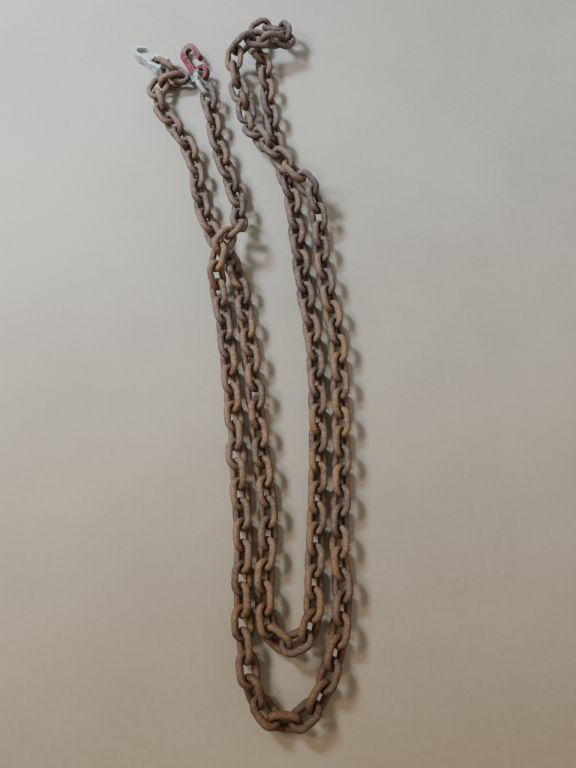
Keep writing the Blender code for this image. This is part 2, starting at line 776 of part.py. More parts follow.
def grab_hook_pose(hook_mesh, half_mesh, half_pose, floor):
    """The eye hangs on the upper crown, rolled towards square with it until the bar passes."""
    tree = posed_tree(half_mesh, half_pose)
    crown = half_pose @ Vector((0, crown_offset, 0))
    level = half_pose.to_3x3().col[1].copy()
    level.z = 0
    level = (Matrix.Rotation(math.radians(GRAB_BEND), 3, "Z") @ level).normalized()
    square = half_pose.to_3x3().col[2].copy()
    if square.dot(Vector((0, 0, 1)).cross(level)) < 0:
        square = -square

    def pose_at(drop):
        ahead = (level + Vector((0, 0, -math.tan(math.radians(drop))))).normalized()
        lying = Vector((0, 0, 1)).cross(ahead).normalized()
        standing = (square - ahead * square.dot(ahead)).normalized()
        tight = crown + ahead * ((EYE_BORE - COUPLER_BAR) / 2 + EYE_WALL / 3)
        best = None
        for step in range(6):
            side = lying.lerp(standing, min(GRAB_ROLL + 0.1 * step, 1.0)).normalized()
            axes = (ahead, side, ahead.cross(side))
            slack = first_clear(tree, hook_mesh, axes, tight, -ahead) + GAP
            if best is None or slack < best[0]:
                best = (slack, axes)
            if slack < WIRE * 0.6:
                break
        return pose_from(best[1], tight - ahead * best[0])

    return resting_pose(pose_at, [hook_mesh], floor)


def recentre(parts, tools):
    """Moves everything so that the model's box stands on the floor, centred on the origin."""
    places = []
    for piece in parts.objects:
        pose = piece.matrix_world
        places += [pose @ vertex.co for vertex in shape_of(piece).vertices]
    low = Vector(min(place[i] for place in places) for i in range(3))
    high = Vector(max(place[i] for place in places) for i in range(3))
    shift = Matrix.Translation((-(low.x + high.x) / 2, -(low.y + high.y) / 2, -low.z))
    move(list(parts.objects) + list(tools.objects), shift)
    bpy.context.view_layer.update()
    return shift


def main():
    remove_everything()
    parts = new_collection("towing_chain")
    tools = new_collection("cutters_and_operands")
    link = link_mesh()
    poses = place_links(link)
    build_chain(link, poses, parts, tools)
    floor = min(lowest(link, pose) for pose in poses)

    slip_hook = build_slip_hook(parts, tools)
    pose = slip_hook_pose(shape_of(slip_hook[0]), shape_of(slip_hook[2]), link, poses[0], floor)
    move(slip_hook, pose)

    coupler = build_coupler(parts, tools)
    upper_shape = shape_of(coupler[0])
    lower_shape = shape_of(coupler[6])
    lower_shape.transform(Matrix.Rotation(math.radians(180), 4, "Z"))
    pose = coupler_pose([lower_shape, upper_shape], link, poses[-1], len(poses), floor)
    move(coupler, pose)

    grab_hook = build_grab_hook(parts)
    move(grab_hook, grab_hook_pose(shape_of(grab_hook[0]), upper_shape, pose, floor))
    return recentre(parts, tools)


main()
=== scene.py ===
"""The look of a doubled towing chain with a hook at each end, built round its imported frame."""
import math
import random
from bisect import bisect_right

import bmesh
import bpy
from mathutils import Matrix, Quaternion, Vector
from mathutils.bvhtree import BVHTree


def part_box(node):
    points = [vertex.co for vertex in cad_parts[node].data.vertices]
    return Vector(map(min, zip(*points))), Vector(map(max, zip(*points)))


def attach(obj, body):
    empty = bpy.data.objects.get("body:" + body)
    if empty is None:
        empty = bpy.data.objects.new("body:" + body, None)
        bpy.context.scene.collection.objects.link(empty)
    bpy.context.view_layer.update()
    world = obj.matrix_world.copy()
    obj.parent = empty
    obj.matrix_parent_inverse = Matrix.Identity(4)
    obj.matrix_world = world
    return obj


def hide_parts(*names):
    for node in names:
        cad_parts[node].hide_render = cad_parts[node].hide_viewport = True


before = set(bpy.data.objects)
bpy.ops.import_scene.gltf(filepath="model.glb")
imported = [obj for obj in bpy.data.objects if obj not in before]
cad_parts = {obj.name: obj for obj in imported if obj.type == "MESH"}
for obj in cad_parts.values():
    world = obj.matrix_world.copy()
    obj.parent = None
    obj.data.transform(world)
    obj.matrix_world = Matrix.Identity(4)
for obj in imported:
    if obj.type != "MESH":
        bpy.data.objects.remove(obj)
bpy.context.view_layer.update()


# The chain: links of round bar, bent and butt-welded one in another, and left outdoors until
# they rusted all over. It is folded in half and laid in a long double U. Each link hangs in the
# one before it, and leans to one side or the other by turns.
WIRE = 0.013
INSIDE_LENGTH = 0.036
INSIDE_WIDTH = 0.018
LINKS = 158
LINKS_IN_A_RUN = 4
WELD_DEPTH = 0.0005
GAP = 0.0003
LEAN = 45.0
# The route's points: x in link widths, y in inside lengths, height in lying links, and lean.
ROUTE = [
    (-4.05, 17.04, 1.0, 88),
    (-3.55, 16.72, 1.0, 75),
    (-3.02, 16.14, 1.0, 65),
    (-2.50, 15.56, 1.2, 55),
    (-2.30, 15.08, 1.9, 50),
    (-2.64, 14.88, 2.3, LEAN),
    (-3.20, 15.10, 2.1, LEAN),
    (-3.82, 15.25, 1.5, LEAN),
    (-4.18, 14.88, 1.1, LEAN),
    (-4.00, 14.15, 1.0, LEAN),
    (-3.60, 13.40, 1.0, 50),
    (-3.22, 12.70, 1.0, 60),
    (-2.84, 12.05, 1.0, 50),
    (-2.42, 11.25, 1.0, LEAN),
    (-2.02, 10.30, 1.0, LEAN),
    (-1.74, 9.10, 1.0, LEAN),
    (-1.56, 7.70, 1.0, LEAN),
    (-1.22, 5.95, 1.0, LEAN),
    (-0.45, 4.00, 1.0, LEAN),
    (0.27, 2.70, 1.0, LEAN),
    (0.62, 1.30, 1.0, LEAN),
    (0.80, -0.25, 1.0, LEAN),
    (1.05, -2.30, 1.0, LEAN),
    (1.30, -5.00, 1.0, 30),
    (1.60, -7.90, 1.0, 40),
    (1.95, -11.20, 1.0, LEAN),
    (1.78, -14.05, 1.0, LEAN),
    (1.86, -15.90, 1.0, LEAN),
    (2.13, -16.72, 1.0, LEAN),
    (2.77, -17.06, 1.0, LEAN),
    (3.41, -16.72, 1.0, LEAN),
    (3.68, -15.90, 1.0, LEAN),
    (3.72, -14.70, 1.0, LEAN),
    (3.82, -12.70, 1.0, LEAN),
    (3.95, -9.75, 1.0, LEAN),
    (4.02, -6.70, 1.0, LEAN),
    (3.98, -3.80, 1.0, LEAN),
    (3.85, -1.50, 1.0, LEAN),
    (3.50, 1.30, 1.0, LEAN),
    (3.30, 3.40, 1.0, LEAN),
    (3.12, 5.20, 1.0, LEAN),
    (3.00, 6.70, 1.0, LEAN),
    (2.75, 8.20, 1.0, LEAN),
    (2.38, 9.70, 1.0, LEAN),
    (2.10, 11.20, 1.0, LEAN),
    (1.88, 13.00, 1.0, LEAN),
    (1.64, 15.00, 1.0, LEAN),
    (1.60, 16.40, 1.0, LEAN),
    (1.40, 17.35, 1.0, LEAN),
    (1.00, 18.10, 1.0, LEAN),
    (0.84, 18.95, 1.0, LEAN),
    (1.18, 19.75, 1.0, LEAN),
    (1.90, 19.98, 1.0, LEAN),
    (2.54, 19.50, 1.3, LEAN),
    (2.76, 18.65, 1.9, LEAN),
    (2.54, 17.88, 2.5, LEAN),
    (1.94, 17.55, 3.1, LEAN),
    (1.16, 17.66, 3.6, LEAN),
    (0.48, 17.62, 3.4, LEAN),
    (0.02, 17.12, 2.7, LEAN),
    (-0.06, 16.30, 1.8, LEAN),
    (0.08, 15.50, 1.25, LEAN),
    (0.32, 14.60, 1.05, LEAN),
    (0.54, 13.60, 1.0, LEAN),
    (0.78, 12.20, 1.2, LEAN),
    (1.12, 11.00, 2.6, LEAN),
    (1.95, 9.60, 3.35, LEAN),
    (3.05, 8.10, 3.45, LEAN),
    (4.02, 6.85, 2.6, LEAN),
    (4.20, 5.40, 1.15, LEAN),
    (4.30, 3.20, 1.0, LEAN),
    (4.60, 0.80, 1.0, LEAN),
    (4.95, -1.70, 1.0, LEAN),
    (4.98, -4.00, 1.0, LEAN),
    (5.00, -6.70, 1.0, LEAN),
    (4.93, -9.70, 1.0, LEAN),
    (4.78, -12.50, 1.0, LEAN),
    (4.90, -14.60, 1.0, LEAN),
    (4.70, -16.60, 1.0, LEAN),
    (4.30, -18.20, 1.0, LEAN),
    (3.72, -19.60, 1.0, LEAN),
    (2.80, -20.30, 1.0, LEAN),
    (1.85, -19.85, 1.0, LEAN),
    (1.40, -18.70, 1.0, LEAN),
    (1.05, -16.80, 1.0, 30),
    (0.92, -14.60, 1.0, 35),
    (0.92, -12.00, 1.0, LEAN),
    (0.73, -9.60, 1.0, LEAN),
    (0.52, -6.90, 1.0, 30),
    (0.26, -4.20, 1.0, LEAN),
    (0.02, -1.90, 1.0, LEAN),
    (-0.26, 0.20, 1.0, LEAN),
    (-0.52, 1.70, 1.3, LEAN),
    (-0.58, 2.75, 2.9, LEAN),
    (-0.12, 3.75, 3.4, LEAN),
    (0.35, 4.70, 2.9, LEAN),
    (0.50, 5.80, 1.5, LEAN),
    (0.34, 7.00, 1.0, 30),
    (0.02, 8.10, 1.0, 30),
    (-0.35, 9.40, 1.0, 35),
    (-0.78, 11.00, 1.0, LEAN),
    (-1.00, 12.40, 1.0, LEAN),
    (-1.12, 13.40, 1.1, 48),
    (-1.34, 14.40, 1.3, 50),
]
wire_radius = WIRE / 2
end_radius = (INSIDE_WIDTH + WIRE) / 2
side_length = INSIDE_LENGTH - INSIDE_WIDTH
link_width = INSIDE_WIDTH + 2 * WIRE
half_link = side_length / 2 + end_radius
crown_reach = INSIDE_LENGTH + WIRE
# The solids' link has half-octagon ends, and its wire has five corners, given in wire radii.
OCTAGON_HALF_TURN = math.radians(22.5)
WIRE_CORNERS = [(1, 0), (0.15, 1.06), (-0.94, 0.66), (-0.94, -0.66), (0.15, -1.06)]
MERGE = 0.00001


def in_scene(name, data):
    """A new object, linked to the scene."""
    made = bpy.data.objects.new(name, data)
    bpy.context.scene.collection.objects.link(made)
    return made


def evaluated_mesh(carrier):
    """The plain mesh that an object shows, with its bevel or its modifiers."""
    bpy.context.view_layer.update()
    evaluated = carrier.evaluated_get(bpy.context.evaluated_depsgraph_get())
    return bpy.data.meshes.new_from_object(evaluated)


def merged_copy(name, mesh):
    """A copy of a mesh, with its doubled corners merged."""
    shape = bmesh.new()
    shape.from_mesh(mesh)
    bmesh.ops.remove_doubles(shape, verts=shape.verts, dist=MERGE)
    copy = bpy.data.meshes.new(name)
    shape.to_mesh(copy)
    shape.free()
    return copy


def closed_curve(name, corners, dimensions):
    """A curve of one closed, straight-sided and flat spline."""
    curve = bpy.data.curves.new(name, "CURVE")
    curve.dimensions = dimensions
    spline = curve.splines.new("POLY")
    spline.points.add(len(corners) - 1)
    for target, corner in zip(spline.points, corners):
        target.co = (*corner, 0.0, 1.0)
    spline.use_cyclic_u = True
    return curve


def solid_link():
    """One link as it is in the solids, which hang against each other by this shape."""
    half = side_length / 2
    corner = end_radius * math.tan(OCTAGON_HALF_TURN)
    quarter = [(half + corner, end_radius), (half + end_radius, corner)]
    right = quarter + [(x, -y) for x, y in reversed(quarter)]
    outline = right + [(-x, y) for x, y in reversed(right)]
    mitre = 1 / math.cos(OCTAGON_HALF_TURN)
    corners = [(x * mitre * wire_radius, y * wire_radius) for x, y in WIRE_CORNERS]
    section = in_scene("wire_section", closed_curve("wire_section", corners, "2D"))
    path = closed_curve("solid_link", outline, "3D")
    path.bevel_mode = "OBJECT"
    path.bevel_object = section
    carrier = in_scene("solid_link", path)
    mesh = merged_copy("solid_link", evaluated_mesh(carrier))
    for helper in (carrier, section):
        bpy.data.objects.remove(helper, do_unlink=True)
    return mesh


# The route is laid as a smooth line. A point on it at some reach is found in a few rounds.
SAMPLES_A_SPAN = 16
AHEAD_ROUNDS = 4


def lowest(mesh, pose):
    return min((pose @ vertex.co).z for vertex in mesh.vertices)


def lying_height(mesh, lean):
    """Height of a link's middle when it and its neighbours rest on the floor with this lean."""
    ahead = Vector((0, 1, 0))
    poses = [pose_from(link_axes(ahead, lean, number), Vector()) for number in (0, 1)]
    return -min(lowest(mesh, pose) for pose in poses)


def smooth_route(mesh):
    """The laid line through the route's points: place, lean and length so far at each sample."""
    knots = []
    for across, along, height, lean in ROUTE:
        middle = height * lying_height(mesh, lean)
        knots.append((Vector((across * link_width, along * INSIDE_LENGTH, middle)), lean))
    samples = []
    for index in range(len(knots) - 1):
        before = knots[max(index - 1, 0)][0]
        start, lean = knots[index]
        end, next_lean = knots[index + 1]
        after = knots[min(index + 2, len(knots) - 1)][0]
        for step in range(SAMPLES_A_SPAN):
            t = step / SAMPLES_A_SPAN
            place = 0.5 * ((2 * start) + (end - before) * t
                           + (2 * before - 5 * start + 4 * end - after) * t * t
                           + (3 * start - before - 3 * end + after) * t * t * t)
            samples.append((place, lean + (next_lean - lean) * t))
    samples.append(knots[-1])
    lengths = [0.0]
    for (place, _), (following, _) in zip(samples, samples[1:]):
        lengths.append(lengths[-1] + (following - place).length)
    return samples, lengths


def route_at(route, length):
    """Place and lean at this length along the route."""
    samples, lengths = route
    index = min(max(bisect_right(lengths, length) - 1, 0), len(lengths) - 2)
    share = (length - lengths[index]) / (lengths[index + 1] - lengths[index])
    place, lean = samples[index]
    next_place, next_lean = samples[index + 1]
    return place.lerp(next_place, share), lean + (next_lean - lean) * share


def distance_ahead(route, length, place, reach):
    """How far along the route a point lies at this reach from a place behind it."""
    ahead = length + reach
    for _ in range(AHEAD_ROUNDS):
        point, _ = route_at(route, ahead)
        ahead += reach - (point - place).length
    return ahead


# A link's axes are its length, width and thickness directions. It twists by so many degrees at
# most against the one before it, and its heading settles in a few rounds.
MOST_TWIST = 8.0
SETTLING_ROUNDS = 8


def link_axes(ahead, lean, number):
    """A link's axes for its heading and its lean."""
    side = Vector((0, 0, 1)).cross(ahead).normalized()
    above = ahead.cross(side)
    turn = math.radians(lean + (90 if number % 2 else 0))
    across = side * math.cos(turn) + above * math.sin(turn)
    return ahead, across, ahead.cross(across)


def hung_axes(ahead, lean, number, previous):
    """A link's axes, leaning as asked as far as its twist against the link before allows."""
    leaning = link_axes(ahead, lean, number)[1]
    across = previous[1].cross(ahead).normalized()
    if across.dot(leaning) < 0:
        across = -across
    twist = math.degrees(across.angle(leaning))
    across = across.slerp(leaning, min(1.0, MOST_TWIST / max(twist, MOST_TWIST)))
    return ahead, across, ahead.cross(across)


def contact_normal(axes, next_axes):
    """The direction in which two linked ends press on each other, square to both wires."""
    normal = axes[1].cross(next_axes[1]).normalized()
    return normal if normal.dot(axes[0]) > 0 else -normal


def pose_from(axes, middle):
    pose = Matrix(axes).transposed().to_4x4()
    pose.translation = middle
    return pose


def posed_tree(mesh, pose):
    corners = [pose @ vertex.co for vertex in mesh.vertices]
    return BVHTree.FromPolygons(corners, [tuple(face.vertices) for face in mesh.polygons])


def next_link(mesh, route, length, number, previous):
    """Axes of the link that follows, and its far end's place along the route."""
    axes, crown = previous
    near = crown - axes[0] * WIRE
    heading = axes[0]
    raised = 0.0
    for _ in range(SETTLING_ROUNDS):
        far_length = distance_ahead(route, length, near, crown_reach)
        target, lean = route_at(route, far_length)
        beyond, next_lean = route_at(route, far_length + INSIDE_LENGTH)
        next_axes = link_axes((beyond - target).normalized(), next_lean, number + 1)
        new_axes = hung_axes(heading, lean, number, axes)
        lift = contact_normal(new_axes, next_axes).z * WIRE
        target = target + Vector((0, 0, max(lift, 0.0) + raised))
        heading = (target - near).normalized()
        new_axes = hung_axes(heading, lean, number, axes)
        near = crown - contact_normal(axes, new_axes) * WIRE
        raised -= min(lowest(mesh, pose_from(new_axes, near + heading * crown_reach / 2)), 0.0)
    return new_axes, far_length


# A link starts too near the one before it and moves off until the two are clear. If that leaves
# much slack, it is tried again with less of a bend, or twisted by some degrees.
NEAREST = WIRE * 0.8
CLEAR_STEP = WIRE * 0.02
HALVINGS = 8
LITTLE_SLACK = WIRE * 0.4
EASES = (0.0, 0.12, 0.24, 0.36)
TWISTS = (0, 8, -8, 16, -16)


def first_clear(obstacle, mesh, axes, start, direction):
    """How far a shape moves along a direction before it is just out of an obstacle."""

    def clear(distance):
        pose = pose_from(axes, start + direction * distance)
        return not obstacle.overlap(posed_tree(mesh, pose))

    tight = 0.0
    while not clear(tight + CLEAR_STEP) and tight < WIRE:
        tight += CLEAR_STEP
    loose = tight + CLEAR_STEP
    for _ in range(HALVINGS):
        middle = (tight + loose) / 2
        if clear(middle):
            loose = middle
        else:
            tight = middle
    return loose


def best_hang(mesh, pose, axes):
    """How a link hangs in the one before it: slack, axes, starting place and contact normal."""
    obstacle = posed_tree(mesh, pose)
    last = tuple(pose.to_3x3().col[i].copy() for i in range(3))
    crown = pose.translation + last[0] * half_link
    best = None
    for ease in EASES:
        for twist in TWISTS:
            ahead = axes[0].slerp(last[0], ease)
            across = (axes[1] - ahead * axes[1].dot(ahead)).normalized()
            across = Matrix.Rotation(math.radians(twist), 3, ahead) @ across
            tried = (ahead, across, ahead.cross(across))
            normal = contact_normal(last, tried)
            start = crown - normal * NEAREST + ahead * half_link
            slack = first_clear(obstacle, mesh, tried, start, -normal)
            if best is None or slack < best[0]:
                best = (slack, tried, start, normal)
            if slack < LITTLE_SLACK:
                return best
    return best


def place_links(mesh):
    """Every link's pose: each end is drawn against the end of the link before it."""
    route = smooth_route(mesh)
    start, lean = route_at(route, 0.0)
    far_length = distance_ahead(route, 0.0, start, crown_reach)
    heading = (route_at(route, far_length)[0] - start).normalized()
    axes = link_axes(heading, lean, 0)
    poses = [pose_from(axes, start + heading * half_link)]
    for number in range(1, LINKS):
        crown = poses[-1].translation + axes[0] * half_link
        new_axes, far_length = next_link(mesh, route, far_length - WIRE, number, (axes, crown))
        slack, axes, start, normal = best_hang(mesh, poses[-1], new_axes)
        slack += GAP if number % LINKS_IN_A_RUN == 0 else -WELD_DEPTH
        poses.append(pose_from(axes, start - normal * slack))
    return poses


# The poses are in the route's own frame. The low corner of the first run takes them to the
# packed one.
plain_link = solid_link()
link_poses = place_links(plain_link)
runs = [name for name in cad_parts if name.startswith("links_")]
first_corners = [pose @ vertex.co for pose in link_poses[:LINKS_IN_A_RUN]
                 for vertex in plain_link.vertices]
low_corner = Vector(min(corner[i] for corner in first_corners) for i in range(3))
to_frame = Matrix.Translation(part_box(min(runs))[0] - low_corner)
link_poses = [to_frame @ pose for pose in link_poses]

# The real link is of round wire, with a raised ring of weld on one side. Its ends have worn
# where links rub, most of all on the inside. The insides and the crowns also carry painted
# shade, stored as an attribute that darkens the colour there.
LINK_SIDES = 14
LINK_SECTIONS = 38
WELD_RISE = 0.0005
WELD_HALF = 0.0035
CROWN_WEAR = 0.0004
WEAR_OUTSIDE = 0.4
SHADE_INSIDE = 0.45
SHADE_AT_CROWN = 0.15
SHADE_IN_CROWN = 0.40


def wire_centre(along):
    """The middle of the wire at a length along the ring, and the way that is outward there."""
    half_ring = side_length + math.pi * end_radius
    side = 1 if along < half_ring else -1
    along = along % half_ring
    if along < side_length:
        outward = Vector((0, -side, 0))
        return Vector((side * (along - side_length / 2), 0, 0)) + outward * end_radius, outward
    angle = (along - side_length) / end_radius - math.pi / 2
    outward = side * Vector((math.cos(angle), math.sin(angle), 0))
    return Vector((side * side_length / 2, 0, 0)) + outward * end_radius, outward


def round_link(name):
    """One real link in its own frame, with its painted shade and its weld as attributes."""
    shape = bmesh.new()
    painted_shade = shape.verts.layers.float.new("painted_shade")
    weld = shape.verts.layers.float.new("weld")
    around = 2 * (side_length + math.pi * end_radius)
    rings = []
    for section in range(LINK_SECTIONS):
        place, outward = wire_centre(around * section / LINK_SECTIONS)
        on_weld = max(0.0, 1 - (place.x / WELD_HALF) ** 2) if place.y > 0 else 0.0
        crown = max(0.0, abs(outward.x) * 2 - 1)
        ring = []
        for side in range(LINK_SIDES):
            turn = 2 * math.pi * side / LINK_SIDES
            inward = max(0.0, -math.cos(turn))
            worn = CROWN_WEAR * crown * (WEAR_OUTSIDE + inward)
            radius = wire_radius + WELD_RISE * on_weld - worn
            corner = place + outward * radius * math.cos(turn)
            vertex = shape.verts.new(corner + Vector((0, 0, radius * math.sin(turn))))
            # Painted shade, heaviest on the inner side and at the crowns.
            crown_shade = crown * (SHADE_AT_CROWN + SHADE_IN_CROWN * inward)
            vertex[painted_shade] = SHADE_INSIDE * inward + crown_shade
            vertex[weld] = on_weld
            ring.append(vertex)
        rings.append(ring)
    for index, ring in enumerate(rings):
        following = rings[(index + 1) % LINK_SECTIONS]
        for side in range(LINK_SIDES):
            after = (side + 1) % LINK_SIDES
            shape.faces.new((ring[side], following[side], following[after], ring[after]))
    bmesh.ops.recalc_face_normals(shape, faces=shape.faces)
    mesh = bpy.data.meshes.new(name)
    shape.to_mesh(mesh)
    shape.free()
    return mesh


def picked(sockets, name):
    """A node's socket, by its number or its identifier."""
    if isinstance(name, int):
        return sockets[name]
    return next(entry for entry in sockets if entry.identifier == name)


class Socket:
    """An output in a node tree. Sums, products and powers of it are new Math nodes."""

    def __init__(self, tree, output=None):
        self.tree = tree
        self.output = output

    def node(self, kind, settings, values, output=0):
        """Any node: its settings come first, then its inputs, by identifier or by number."""
        made = self.tree.nodes.new(kind)
        for name, value in settings.items():
            setattr(made, name, value)
        for name, value in values.items():
            target = picked(made.inputs, name)
            if isinstance(value, Socket):
                self.tree.links.new(value.output, target)
            else:
                target.default_value = value
        return Socket(self.tree, picked(made.outputs, output))

    def maths(self, operation, *others, clamp=False):
        values = {0: self, **{index + 1: other for index, other in enumerate(others)}}
        return self.node("ShaderNodeMath", {"operation": operation, "use_clamp": clamp}, values)

    def __add__(self, other):
        return self.maths("ADD", other)

    def __sub__(self, other):
        return self.maths("SUBTRACT", other)

    def __rsub__(self, other):
        return self * -1.0 + other

    def __mul__(self, other):
        return self.maths("MULTIPLY", other)

    def __pow__(self, other):
        return self.maths("POWER", other)

    __radd__ = __add__
    __rmul__ = __mul__

    def step(self, low, high):
        """0 below low and 1 above high, with a smooth rise between them."""
        return self.node("ShaderNodeMapRange", {"interpolation_type": "SMOOTHSTEP"},
                         {"Value": self, "From Min": low, "From Max": high}, "Result")

    def mix(self, first, second, blend="MIX"):
        """Two colours, mixed by this number."""
        values = {"Factor_Float": self.maths("ADD", 0.0, clamp=True), "A_Color": first,
                  "B_Color": second}
        return self.node("ShaderNodeMix", {"data_type": "RGBA", "blend_type": blend}, values,
                         "Result_Color")

    def noise(self, scale, detail=4.0, roughness=0.55, distortion=0.0):
        """A noise pattern over this place."""
        return self.node("ShaderNodeTexNoise", {}, {
            "Vector": self, "Scale": scale, "Detail": detail, "Roughness": roughness,
            "Distortion": distortion})

    def part(self, axis):
        """This place's share along X, Y or Z."""
        return self.node("ShaderNodeSeparateXYZ", {}, {0: self}, axis)

    def attribute(self, name):
        return self.node("ShaderNodeAttribute", {"attribute_name": name}, {}, "Fac")


def new_material(name, metallic, specular):
    """An empty material, its shader, and the place on the object in its tree."""
    material = bpy.data.materials.new(name)
    material.use_nodes = True
    shader = material.node_tree.nodes["Principled BSDF"]
    shader.inputs["Metallic"].default_value = metallic
    shader.inputs["Specular IOR Level"].default_value = specular
    place = Socket(material.node_tree).node("ShaderNodeTexCoord", {}, {}, "Object")
    return material, shader, place


def finish_material(shader, colour, roughness, height, depth):
    """Links a colour, a roughness and a relief of this depth to a material's shader."""
    relief = height.node("ShaderNodeBump", {}, {
        "Strength": 1.0, "Distance": depth, "Height": height})
    for name, value in (("Base Color", colour), ("Roughness", roughness), ("Normal", relief)):
        value.tree.links.new(value.output, shader.inputs[name])


# Dust pales the tops, and rubbed spots with painted glints pale them more. Painted shade darkens
# the insides, the crowns and the undersides. The rust turns from brown to orange from link to
# link. It and its dust are cooler at the hook end than at the near bends, which is partly
# painted warm light, and the near bends are darkened with painted shade.
DARK_RUST = (0.072, 0.031, 0.020, 1)
BROWN_RUST = (0.190, 0.090, 0.056, 1)
MAUVE_SCALE = (0.130, 0.094, 0.098, 1)
TAN_RUST = (0.260, 0.145, 0.084, 1)
ORANGE_RUST = (0.28, 0.095, 0.035, 1)
YELLOW_RUST = (0.34, 0.190, 0.055, 1)
LILAC_SCALE = (0.156, 0.106, 0.104, 1)
COOL_DUST = (0.42, 0.38, 0.39, 1)
WARM_DUST = (0.45, 0.29, 0.18, 1)
COOL_RUBBED_GLINTS = (0.52, 0.47, 0.46, 1)
WARM_RUBBED_GLINTS = (0.50, 0.36, 0.25, 1)
NEAR_BEND_PAINTED_SHADE = (0.57, 0.45, 0.34, 1)
DARK_SPECKS = (0.045, 0.026, 0.018, 1)
PITS = (0.028, 0.016, 0.010, 1)
PAINTED_SHADE_AND_DARK_WELD = (0.030, 0.010, 0.004, 1)


def rusty_steel():
    material, shader, place = new_material("rusty_steel_look", 0.0, 0.5)
    tint = place.attribute("tint")
    other = (tint * 7.3).maths("FRACT")
    up = place.attribute("up")
    painted_shade = place.attribute("painted_shade")
    weld = place.attribute("weld")
    # The rust and dust at the near end are warmer: partly real, partly painted warm light.
    near_end = 1.0 - place.part("Y").step(-0.45, 0.50)
    near_bend = 1.0 - place.part("Y").step(-0.74, -0.35)
    broad = place.noise(9.0, 2.0)
    mauve = place.noise(28.0, 3.0)
    blotch = place.noise(55.0, 5.0, 0.6, 0.4)
    specks = place.noise(300.0, 3.0, 0.7)
    grain = place.noise(420.0, 6.0, 0.65)
    flakes = place.noise(1500.0, 4.0, 0.6)
    rust = (blotch + (tint - 0.5) * 0.40).step(0.40, 0.60).mix(DARK_RUST, BROWN_RUST)
    rust = ((mauve - 0.38) * 2.6 * (1.1 - near_end)).mix(rust, MAUVE_SCALE)
    tan = blotch * 0.8 + broad * 0.5 + tint * 0.40 + near_end * 0.10 - 0.24
    rust = (tan.step(0.54, 0.74) * 0.85).mix(rust, TAN_RUST)
    bright = (grain - 0.5) * 1.6 + (mauve - 0.5) * 4.5 + near_end * 0.36 + (other - 0.5) * 0.7
    rust = (bright.step(0.30, 0.75) * 0.8).mix(
        rust, blotch.step(0.42, 0.58).mix(ORANGE_RUST, YELLOW_RUST))
    rust = ((0.5 - other) * 1.4 * (0.3 + blotch)).mix(rust, LILAC_SCALE)
    dust = (up * 0.5 + 0.5) ** 5.0 * (grain * 1.4 + 0.20) * (0.25 + blotch * 1.2)
    rust = (dust * (0.46 + near_end * 0.06)).mix(rust, near_end.mix(COOL_DUST, WARM_DUST))
    # Pale specks, more of them on the tops: partly rubbed steel, partly painted highlight
    # glints.
    rubbed_and_glints = specks.step(0.54, 0.66) * (up * 0.5 + 0.5)
    rust = (rubbed_and_glints * 0.50).mix(rust, near_end.mix(COOL_RUBBED_GLINTS, WARM_RUBBED_GLINTS))
    # Painted shade: the links at the near bends are darkened by a multiply.
    rust = near_bend.mix(rust, NEAR_BEND_PAINTED_SHADE, "MULTIPLY")
    rust = ((1.0 - specks.step(0.36, 0.46)) * 0.55).mix(rust, DARK_SPECKS)
    pitted = 1.0 - (flakes * 0.6 + grain * 0.5).step(0.46, 0.60)
    rust = (pitted * 0.5).mix(rust, PITS)
    # Painted shade on the insides, the crowns and the downward faces, and a darker grainy weld,
    # all mixed towards one dark colour.
    rust = (painted_shade + (0.32 - up) * 0.62 + weld * grain * 0.25).mix(rust, PAINTED_SHADE_AND_DARK_WELD)
    roughness = 0.76 - rubbed_and_glints * 0.26 + pitted * 0.12 + painted_shade * 0.1
    finish_material(shader, rust, roughness, grain * 0.6 + flakes * 0.3 + blotch * 0.5, 0.0006)
    return material


SKIN_INPUTS = {"Scale": "NodeSocketFloat", "Depth": "NodeSocketFloat",
               "Material": "NodeSocketMaterial"}


def new_tree(name, inputs):
    """A Geometry Nodes tree with these inputs after its geometry, and a socket for each."""
    tree = bpy.data.node_groups.new(name, "GeometryNodeTree")
    for label, kind in {"Geometry": "NodeSocketGeometry", **inputs}.items():
        tree.interface.new_socket(label, in_out="INPUT", socket_type=kind)
    tree.interface.new_socket("Geometry", in_out="OUTPUT", socket_type="NodeSocketGeometry")
    start = tree.nodes.new("NodeGroupInput")
    return tree, {entry.name: Socket(tree, entry) for entry in start.outputs if entry.name}


def store(geometry, name, value, domain="POINT"):
    return geometry.node("GeometryNodeStoreNamedAttribute", {
        "data_type": "FLOAT", "domain": domain},
        {"Geometry": geometry, "Name": name, "Value": value})


def finish_skin(geometry, inputs):
    """Ends a tree: lumps along the normals, how far each point looks up, and the material."""
    noise = geometry.node("ShaderNodeTexNoise", {}, {"Scale": inputs["Scale"], "Detail": 3.0})
    normal = geometry.node("GeometryNodeInputNormal", {}, {})
    lumps = geometry.node("ShaderNodeVectorMath", {"operation": "SCALE"},
                          {0: normal, "Scale": (noise - 0.5) * inputs["Depth"]})
    moved = geometry.node("GeometryNodeSetPosition", {}, {"Geometry": geometry, "Offset": lumps})
    facing = store(moved, "up", normal.part("Z"))
    smooth = geometry.node("GeometryNodeSetShadeSmooth", {}, {"Geometry": facing})
    real = geometry.node("GeometryNodeRealizeInstances", {}, {"Geometry": smooth})
    coated = geometry.node("GeometryNodeSetMaterial", {}, {
        "Geometry": real, "Material": inputs["Material"]})
    end = geometry.tree.nodes.new("NodeGroupOutput")
    geometry.tree.links.new(coated.output, end.inputs[0])


